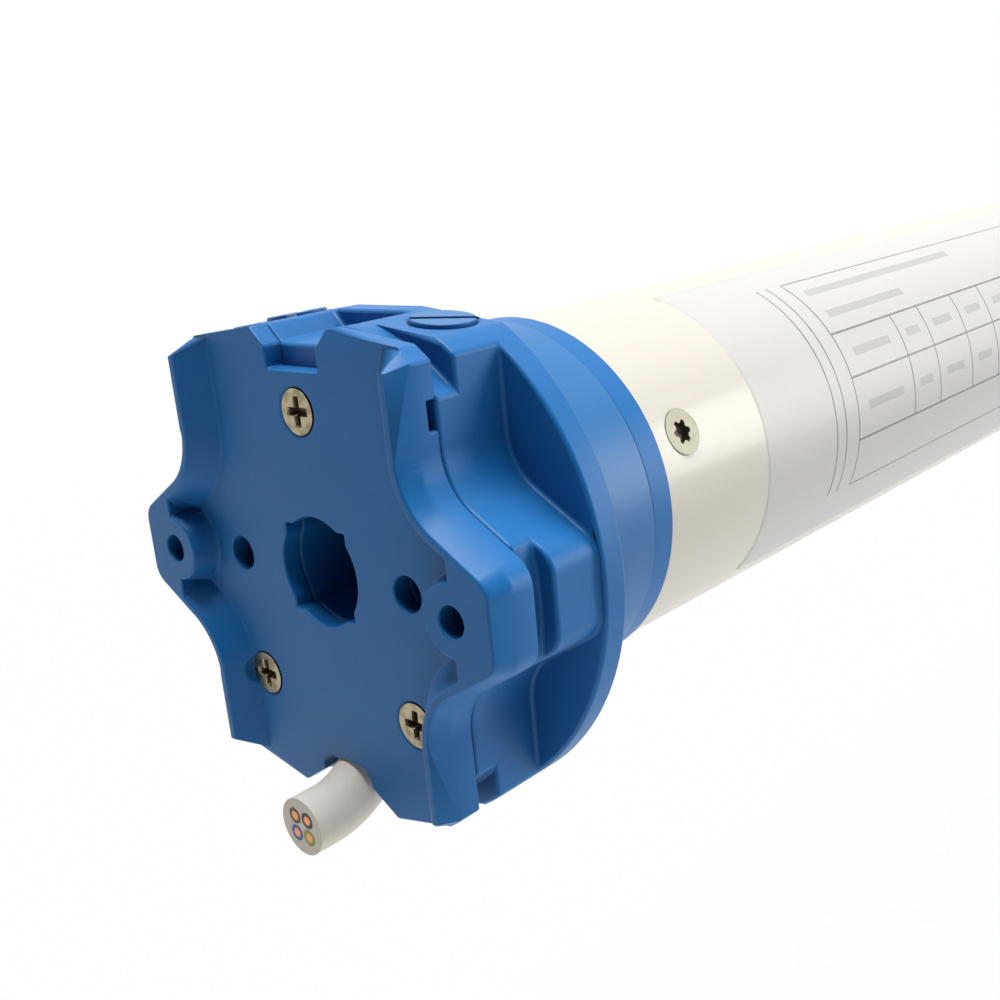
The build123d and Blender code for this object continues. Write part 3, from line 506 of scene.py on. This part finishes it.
@dataclass(frozen=True)
class LeadCores(Finish):
    """Copper strands in four coloured insulations, told apart by their places in the lead."""

    name: str = "lead_cores"
    middle_z: float = -28.4
    offset: float = 1.096
    copper_radius: float = 0.55
    copper: Colour = (0.74, 0.34, 0.15)
    upper_sleeves: tuple[Colour, Colour] = ((0.16, 0.06, 0.03), (0.02, 0.02, 0.022))
    lower_sleeves: tuple[Colour, Colour] = ((0.03, 0.14, 0.45), (0.35, 0.42, 0.03))
    strand_size: float = 0.22 * MM
    strand_depth: float = 0.04 * MM
    strand_roughness: float = 0.2
    roughness: float = 0.35

    def paint(self, shader: Shader) -> None:
        """Colours each core by its quarter, with copper at its middle.

        Args:
            shader: the material under construction.
        """
        _, across, up = shader.axes()
        up = up - self.middle_z
        aside = abs(across) - self.offset
        above = abs(up) - self.offset
        bare = (aside * aside + above * above) < self.copper_radius ** 2
        left, low = across < 0.0, up < 0.0
        sleeve = shader.mix(low, shader.mix(left, *self.upper_sleeves), shader.mix(left, *self.lower_sleeves))
        shader.set("Base Color", shader.mix(bare, sleeve, self.copper))
        shader.set("Metallic", bare)
        strands = shader.noise(self.strand_size)
        shader.set("Roughness", self.roughness + strands * self.strand_roughness)
        shader.bump(strands, self.strand_depth)


@dataclass(frozen=True)
class LabelFilm(Finish):
    """White film printed with a plain ruled grid and bars in its fields, blank otherwise.

    Places are in millimetres along the motor, angles in degrees round it.
    """

    name: str = "label_film"
    paper: Colour = (0.74, 0.72, 0.70)
    ink: Colour = (0.14, 0.135, 0.135)
    frame_start: float = 81.7
    border_starts: tuple[float, float] = (75.3, 77.9)
    rule_half: float = 0.16
    rule_half_angle: float = 0.4
    grid_reach: tuple[float, float] = (160.0, 43.2)
    row_angles: tuple[float, ...] = (117.0, 144.2, 161.7, 185.0, 203.0)
    column_places: tuple[float, ...] = (99.5, 108.5, 120.5, 131.0, 150.0, 166.0)
    column_reach: tuple[float, float] = (164.6, 20.4)
    bar_share: float = 0.34
    bar_half_angle: float = 1.7
    long_bars: tuple[tuple[float, float, float], ...] = ((124.5, 84.5, 132.0), (136.0, 84.5, 108.0))
    field_angles: tuple[float, ...] = (153.0, 173.5)
    field_bars: tuple[tuple[float, float], ...] = (
        (85.0, 96.0), (101.5, 106.0), (111.0, 117.5), (123.0, 128.5), (134.0, 146.0), (153.5, 162.5),
    )
    wear_size: float = 1.1 * MM
    wear_detail: float = 3.0
    ink_least: float = 0.55
    ink_spread: float = 0.5
    roughness: float = 0.36
    roughness_spread: float = 0.06
    ripple_size: float = 20 * MM
    ripple_depth: float = 0.05 * MM

    def rules(self, along: Signal, turn: Signal) -> Signal:
        """The grid's rules.

        Args:
            along: the place along the motor.
            turn: the angle round it.

        Returns:
            1 on a rule.
        """
        lines = along.near(self.frame_start, self.rule_half)
        for start in self.border_starts:
            lines = lines.either(along.near(start, self.rule_half))
        inside = turn.near(*self.column_reach)
        for place in self.column_places:
            lines = lines.either(along.near(place, self.rule_half) * inside)
        for angle in self.row_angles:
            lines = lines.either(turn.near(angle, self.rule_half_angle) * (along > self.frame_start))
        return lines * turn.near(*self.grid_reach)

    def with_bars(self, lines: Signal, along: Signal, turn: Signal) -> Signal:
        """The rules and the paler bars in the fields.

        Args:
            lines: the rules.
            along: the place along the motor.
            turn: the angle round it.

        Returns:
            How much ink lies at a place.
        """
        fields = ((angle, *ends) for angle in self.field_angles for ends in self.field_bars)
        for angle, start, end in (*self.long_bars, *fields):
            bar = turn.near(angle, self.bar_half_angle) * along.near((start + end) / 2, (end - start) / 2)
            lines = lines.either(bar * self.bar_share)
        return lines

    def paint(self, shader: Shader) -> None:
        """Prints thin grey rules and bars by place along and round the tube.

        Args:
            shader: the material under construction.
        """
        along, across, up = shader.axes()
        turn = up.maths("ARCTAN2", across).maths("DEGREES")
        turn = turn + (turn < 0.0) * 360.0
        ink = self.with_bars(self.rules(along, turn), along, turn)
        wear = shader.noise(self.wear_size, self.wear_detail)
        strength = wear * self.ink_spread + self.ink_least
        shader.set("Base Color", shader.mix(ink * strength, self.paper, self.ink))
        shader.set("Roughness", self.roughness + wear * self.roughness_spread)
        shader.bump(shader.noise(self.ripple_size), self.ripple_depth)


@dataclass(frozen=True)
class Backdrop(Finish):
    """Nearly white to the camera and in reflections, with a faint shadow near the motor."""

    name: str = "backdrop"
    matt: Colour = (0.7, 0.7, 0.7)
    roughness: float = 0.9
    white_share: float = 0.98
    plain_from: float = 0.35
    plain_over: float = 0.5
    room: WhiteRoom = WhiteRoom()

    def paint(self, shader: Shader) -> None:
        """Mixes a matt surface with plain white for the rays that show it.

        Args:
            shader: the material under construction.
        """
        shader.set("Base Color", self.matt)
        shader.set("Roughness", self.roughness)
        length = Signal(shader, shader.vector_maths("LENGTH", shader.place()).outputs["Value"])
        far = ((length - self.plain_from) * (1 / self.plain_over)).clipped()
        share = far * (1 - self.white_share) + self.white_share
        seen = self.room.seen(shader, shader.place())
        shader.mix_white(seen * share, "ShaderNodeEmission", "Material Output")


class Slot(Enum):
    """The finishes of the motor's pieces, by the record's material slots."""

    # The two blue plastics darken in their corners and pockets as painted shade.
    BLUE_PLASTIC = MouldedPlastic("blue_plastic", (0.006, 0.172, 0.505), roughness=0.44, gloss=0.35,
                                  haze=0.09, grime=0.55)
    RING_PLASTIC = MouldedPlastic("ring_plastic", (0.022, 0.190, 0.500), roughness=0.38, gloss=0.45,
                                  mottle=0.12, haze=0.08, grime=0.4)
    DARK_PLASTIC = MouldedPlastic("dark_plastic", (0.022, 0.022, 0.026))
    WHITE_PLASTIC = MouldedPlastic("white_plastic", (0.72, 0.72, 0.68))
    GEAR_PLASTIC = MouldedPlastic("gear_plastic", (0.80, 0.76, 0.62))
    CAPACITOR_CASE = MouldedPlastic("capacitor_case", (0.62, 0.62, 0.60), roughness=0.28)
    LOOM_SLEEVE = MouldedPlastic("loom_sleeve", (0.03, 0.03, 0.035), roughness=0.6)
    FRICTION_LINING = MouldedPlastic("friction_lining", (0.07, 0.055, 0.045), roughness=0.8)
    TUBE_PAINT = Lacquer()
    LABEL_PAPER = LabelFilm()
    LEAD_JACKET = Jacket()
    ZINC_SCREW = PlatedScrew()
    TUBE_SCREW = Metal("tube_screw", (0.20, 0.195, 0.155), roughness=0.36)
    COPPER = Metal("copper", (0.78, 0.36, 0.17))
    LEAD_CORES = LeadCores()
    STEEL = Metal("steel", (0.55, 0.56, 0.58))
    CAST_ALUMINIUM = Metal("cast_aluminium", (0.66, 0.67, 0.69), roughness=0.5)
    LAMINATION = Metal("lamination", (0.30, 0.31, 0.33), roughness=0.5)
    BRONZE = Metal("bronze", (0.60, 0.40, 0.18))


@dataclass
class Softening:
    """Rounds the edges of a copy of a CAD node, and leaves sharp those too fine to be rounded."""

    width: float
    sharp_angle: float = 32.0
    flat_angle: float = 0.6
    fold_angle: float = 120.0
    segments: int = 3
    join: float = 0.002 * MM
    speck: float = 1e-5 * MM * MM
    reach_share: float = 1.6
    tries: int = 4
    flat_weight: int = 80

    def skin(self, node: bpy.types.Object) -> bmesh.types.BMesh:
        """Copies a node's mesh.

        Args:
            node: the CAD node.

        Returns:
            The copy, with its triangles joined and its flat faces whole.
        """
        skin = bmesh.new()
        skin.from_mesh(node.data)
        skin.transform(node.matrix_world)
        bmesh.ops.remove_doubles(skin, verts=skin.verts, dist=self.join)
        bmesh.ops.dissolve_limit(skin, angle_limit=math.radians(self.flat_angle), verts=skin.verts,
                                 edges=skin.edges)
        skin.edges.index_update()
        return skin

    def sharp_edges(self, skin: bmesh.types.BMesh, spared: set[int]) -> list[bmesh.types.BMEdge]:
        """Finds the edges to round.

        Args:
            skin: the joined mesh.
            spared: numbers of the edges that stay sharp.

        Returns:
            Every other edge whose faces turn by more than the sharp angle.
        """
        limit = math.radians(self.sharp_angle)
        return [edge for edge in skin.edges
                if edge.index not in spared and edge.is_manifold and edge.calc_face_angle(0.0) > limit]

    def rounded(self, skin: bmesh.types.BMesh, spared: set[int]) -> bmesh.types.BMesh:
        """Bevels a copy of the skin.

        Args:
            skin: the joined mesh.
            spared: numbers of the edges that stay sharp.

        Returns:
            The bevelled copy.
        """
        made = skin.copy()
        made.edges.ensure_lookup_table()
        for number in spared:
            made.edges[number].smooth = False
        bmesh.ops.bevel(made, geom=self.sharp_edges(made, spared), offset=self.width, offset_type="OFFSET",
                        segments=self.segments, profile=0.5, affect="EDGES", clamp_overlap=False,
                        loop_slide=False, material=-1, face_strength_mode="ALL")
        return made

    def folds(self, made: bmesh.types.BMesh) -> KDTree:
        """Finds where two faces lie folded on each other.

        Args:
            made: the bevelled mesh.

        Returns:
            The middles of the folded edges, apart from those at mere specks.
        """
        limit = math.radians(self.fold_angle)
        places = []
        for edge in made.edges:
            if not edge.is_manifold or min(face.calc_area() for face in edge.link_faces) < self.speck:
                continue
            first, second = edge.link_faces
            if first.normal.angle(second.normal, 0.0) > limit:
                places.append((edge.verts[0].co + edge.verts[1].co) / 2)
        tree = KDTree(len(places))
        for number, place in enumerate(places):
            tree.insert(place, number)
        tree.balance()
        return tree

    def beside(self, edge: bmesh.types.BMEdge, folds: KDTree) -> bool:
        """Tells whether a fold lies within reach of an edge.

        Args:
            edge: the edge, on the joined mesh.
            folds: the places of the folds.

        Returns:
            True where one does.
        """
        start, end = (vert.co for vert in edge.verts)
        reach = self.width * self.reach_share
        for place, _, _ in folds.find_range((start + end) / 2, (end - start).length / 2 + reach):
            foot, share = intersect_point_line(place, start, end)
            foot = start if share < 0 else end if share > 1 else foot
            if (foot - place).length < reach:
                return True
        return False

    def piece(self, node: bpy.types.Object) -> bpy.types.Object:
        """Makes the rounded piece that stands for a node.

        Args:
            node: the CAD node, which is left as it is.

        Returns:
            The new piece, shaded evenly, with no finish yet.
        """
        skin = self.skin(node)
        spared: set[int] = set()
        made = self.rounded(skin, spared)
        for _ in range(self.tries):
            folds = self.folds(made)
            more = {edge.index for edge in self.sharp_edges(skin, spared) if self.beside(edge, folds)}
            if not more:
                break
            spared |= more
            made.free()
            made = self.rounded(skin, spared)
        for face in made.faces:
            face.smooth = True
        mesh = bpy.data.meshes.new(f"{node.name}_rounded")
        made.to_mesh(mesh)
        made.free()
        skin.free()
        piece = bpy.data.objects.new(mesh.name, mesh)
        bpy.context.scene.collection.objects.link(piece)
        normals = piece.modifiers.new("even_shading", "WEIGHTED_NORMAL")
        normals.weight = self.flat_weight
        normals.keep_sharp = True
        normals.use_face_influence = True
        return piece


@dataclass
class SubAssembly:
    """Some of the motor's CAD nodes, each with a finish, and rounded pieces for those that show."""

    frame: dict

    @property
    def slots(self) -> dict[str, str]:
        """The record's material slot of every node."""
        return {row["node"]: row["material_slot"] for row in self.frame["record"]["subparts"]}

    def members(self) -> dict[str, float]:
        """The nodes' names, each with the width of its rounding, or 0 where it stays as it is."""
        raise NotImplementedError

    def finish(self, name: str) -> Finish:
        """A node's finish, by its slot in the record."""
        return Slot[self.slots[name].upper()].value

    def adjust(self, piece: bpy.types.Object, name: str) -> None:
        """Changes a rounded piece further, where a sub-assembly asks for it."""

    def dress(self) -> None:
        """Gives every node its finish and rounds the edges that show."""
        for name, width in self.members().items():
            node = self.frame["nodes"][name]
            node.data.materials.clear()
            node.data.materials.append(self.finish(name).material())
            if width:
                self.round_off(name, node, width)
            LOG.info("dressed %s", name)

    def round_off(self, name: str, node: bpy.types.Object, width: float) -> None:
        """Puts a rounded piece in a node's place.

        Args:
            name: the node's name.
            node: the CAD node.
            width: the width of the rounding, in metres.
        """
        piece = Softening(width).piece(node)
        self.adjust(piece, name)
        piece.data.materials.append(self.finish(name).material())
        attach(piece, body_of(node)[0])
        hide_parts(name)


@dataclass
class Head(SubAssembly):
    """The blue head: cover, body, screws, adjusters, and the lead with its terminals."""

    cover_edge: float = 0.25 * MM
    body_edge: float = 0.5 * MM
    adjuster_edge: float = 0.15 * MM
    screw_edge: float = 0.08 * MM

    def members(self) -> dict[str, float]:
        """Lists the head's nodes.

        Returns:
            Their names, each with the width of its rounding.
        """
        screws = {f"cover_screw_{number}": self.screw_edge for number in (1, 2, 3)}
        adjusters = {f"adjuster_{side}": self.adjuster_edge for side in ("left", "right")}
        plain = dict.fromkeys(("power_lead", "lead_cores", "terminal_block"), 0.0)
        return {"front_cover": self.cover_edge, "head_body": self.body_edge, **screws, **adjusters, **plain}

    def finish(self, name: str) -> Finish:
        """A node's finish, which for the lead's cores is one of their own."""
        return Slot.LEAD_CORES.value if name == "lead_cores" else super().finish(name)


@dataclass
class LimitDrive(SubAssembly):
    """The ring that the roller tube turns, its collar, and the limit switches that it works."""

    ring_edge: float = 0.12 * MM
    collar_edge: float = 0.15 * MM

    def members(self) -> dict[str, float]:
        """Lists the limit drive's nodes.

        Returns:
            Their names, each with the width of its rounding.
        """
        switches = ("limit_switch_unit", "micro_switch_left", "micro_switch_right")
        plain = dict.fromkeys(("limit_pinion", *switches), 0.0)
        return {"limit_ring": self.ring_edge, "ring_collar": self.collar_edge, **plain}


@dataclass
class Housing(SubAssembly):
    """The lacquered tube with its screws, its label and the cap of the drive end."""

    tube_edge: float = 0.15 * MM
    cap_edge: float = 0.4 * MM
    label_edge: float = 0.06 * MM
    screw_edge: float = 0.08 * MM
    label_sink: float = 1.3  # into the tube, in thicknesses of the film
    label_slope: float = 4.5  # outwards along the tube, in the same

    def members(self) -> dict[str, float]:
        """Lists the housing's nodes.

        Returns:
            Their names, each with the width of its rounding.
        """
        screws = {f"tube_screw_{number}": self.screw_edge for number in (1, 2, 3)}
        plain = dict.fromkeys(("end_screw_1", "end_screw_2", "end_screw_3", "front_bush", "rear_bush"), 0.0)
        return {"housing_tube": self.tube_edge, "rating_label": self.label_edge, "end_cap": self.cap_edge,
                **screws, **plain}

    def adjust(self, piece: bpy.types.Object, name: str) -> None:
        """Slopes the two ends of the label down into the tube, so that no step or gap shows there.

        Args:
            piece: a rounded piece.
            name: the node that it stands for.
        """
        if name != "rating_label":
            return
        skin = bmesh.new()
        skin.from_mesh(piece.data)
        bmesh.ops.triangulate(skin, faces=skin.faces)
        radii = {vert: math.hypot(vert.co.y, vert.co.z) for vert in skin.verts}
        top = max(radii.values())
        thickness = top - min(radii.values())
        for edge in skin.edges:
            edge.smooth = min(top - radii[vert] for vert in edge.verts) < thickness / 2
        middle = sum(vert.co.x for vert in skin.verts) / len(skin.verts)
        for vert, radius in radii.items():
            depth = top - radius
            share = 1 - depth * self.label_sink / radius
            vert.co.y *= share
            vert.co.z *= share
            vert.co.x += math.copysign(depth * self.label_slope, vert.co.x - middle)
        skin.to_mesh(piece.data)
        skin.free()


@dataclass
class DriveTrain(SubAssembly):
    """Capacitor, brake, motor and gearbox: every node that the other sub-assemblies don't name."""

    others: tuple[SubAssembly, ...] = ()

    def members(self) -> dict[str, float]:
        """The nodes that are left, none of them rounded."""
        named = {name for other in self.others for name in other.members()}
        return {name: 0.0 for name in self.frame["nodes"] if name not in named}


@dataclass(frozen=True)
class Lamp:
    """A square soft lamp, with its place and side in metres and its power in watts."""

    name: str
    place: tuple[float, float, float]
    power: float
    colour: Colour
    size: float = 0.8

    def hang(self, aim: tuple[float, float, float]) -> None:
        """Adds the lamp to the scene.

        Args:
            aim: the point that it faces.
        """
        data = bpy.data.lights.new(self.name, "AREA")
        data.size = self.size
        data.energy = self.power
        data.color = self.colour
        lamp = bpy.data.objects.new(self.name, data)
        lamp.location = self.place
        lamp.rotation_euler = (Vector(aim) - Vector(self.place)).to_track_quat("-Z", "Y").to_euler()
        bpy.context.scene.collection.objects.link(lamp)


@dataclass(frozen=True)
class Studio:
    """The photograph's camera, a white sweep and soft lamps."""

    camera_place_mm: tuple[float, float, float] = (-79.14, -107.52, 43.73)
    camera_right: tuple[float, float, float] = (0.6807, -0.7266, -0.0932)
    camera_forward: tuple[float, float, float] = (0.6847, 0.6763, -0.2717)
    focal_pixels: float = 1244.15
    frame_pixels: float = 1000.0
    middle_row: float = 498.3
    sensor: float = 36.0
    floor_drop: float = 90 * MM
    floor_half: float = 6.0
    ambient: float = 0.03
    ambient_colour: Colour = (0.90, 0.95, 1.0)
    aim: tuple[float, float, float] = (0.05, 0.0, 0.0)
    lamps: tuple[Lamp, ...] = (
        Lamp("overhead", (0.05, 0.0, 1.6), 29.0, WHITE),
        Lamp("upper_right", (0.771, -0.561, 1.314), 3.3, WARM_WHITE),
        Lamp("right", (1.204, -1.09, 0.19), 9.3, WARM_WHITE),
    )
    room: WhiteRoom = WhiteRoom()

    def camera(self) -> None:
        """Sets the camera where the photograph was taken from."""
        data = bpy.data.cameras.new("photo_camera")
        data.sensor_width = self.sensor
        data.lens = self.sensor * self.focal_pixels / self.frame_pixels
        data.shift_y = (self.middle_row - self.frame_pixels / 2) / self.frame_pixels
        data.clip_start = MM
        camera = bpy.data.objects.new("photo_camera", data)
        back = -Vector(self.camera_forward).normalized()
        up = back.cross(Vector(self.camera_right)).normalized()
        right = up.cross(back)
        turn = Matrix((right, up, back)).transposed()
        camera.matrix_world = Matrix.Translation(Vector(self.camera_place_mm) * MM) @ turn.to_4x4()
        bpy.context.scene.collection.objects.link(camera)
        bpy.context.scene.camera = camera

    def world(self) -> None:
        """Lights the scene softly from all round, and shows white behind it."""
        world = bpy.data.worlds.new("studio")
        shader = Shader(world, "Background")
        shader.set("Color", self.ambient_colour)
        shader.set("Strength", self.ambient)
        way = Signal(shader, shader.node("ShaderNodeTexCoord").outputs["Generated"])
        shader.mix_white(self.room.seen(shader, way), "ShaderNodeBackground", "World Output")
        bpy.context.scene.world = world

    def floor(self, low: float) -> None:
        """Lays a wide floor under the motor.

        Args:
            low: the height of the motor's lowest point.
        """
        sheet = bmesh.new()
        bmesh.ops.create_grid(sheet, x_segments=1, y_segments=1, size=self.floor_half,
                              matrix=Matrix.Translation((0, 0, low - self.floor_drop)))
        mesh = bpy.data.meshes.new("floor")
        sheet.to_mesh(mesh)
        sheet.free()
        floor = bpy.data.objects.new("floor", mesh)
        bpy.context.scene.collection.objects.link(floor)
        floor.data.materials.append(Backdrop().material())
        floor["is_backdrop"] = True

    def build(self, low: float) -> None:
        """Sets up camera, world, lamps and floor.

        Args:
            low: the height of the motor's lowest point.
        """
        bpy.context.scene.view_settings.view_transform = "Standard"
        self.camera()
        self.world()
        for lamp in self.lamps:
            lamp.hang(self.aim)
        self.floor(low)


def main() -> None:
    """Loads the frame, dresses the motor and sets the studio."""
    logging.basicConfig(level=logging.INFO)
    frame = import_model()
    cad_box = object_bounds()
    shell = (Head(frame), LimitDrive(frame), Housing(frame))
    for part in (*shell, DriveTrain(frame, shell)):
        part.dress()
    Studio().build(cad_box[0][2])


if __name__ == "__main__":
    main()
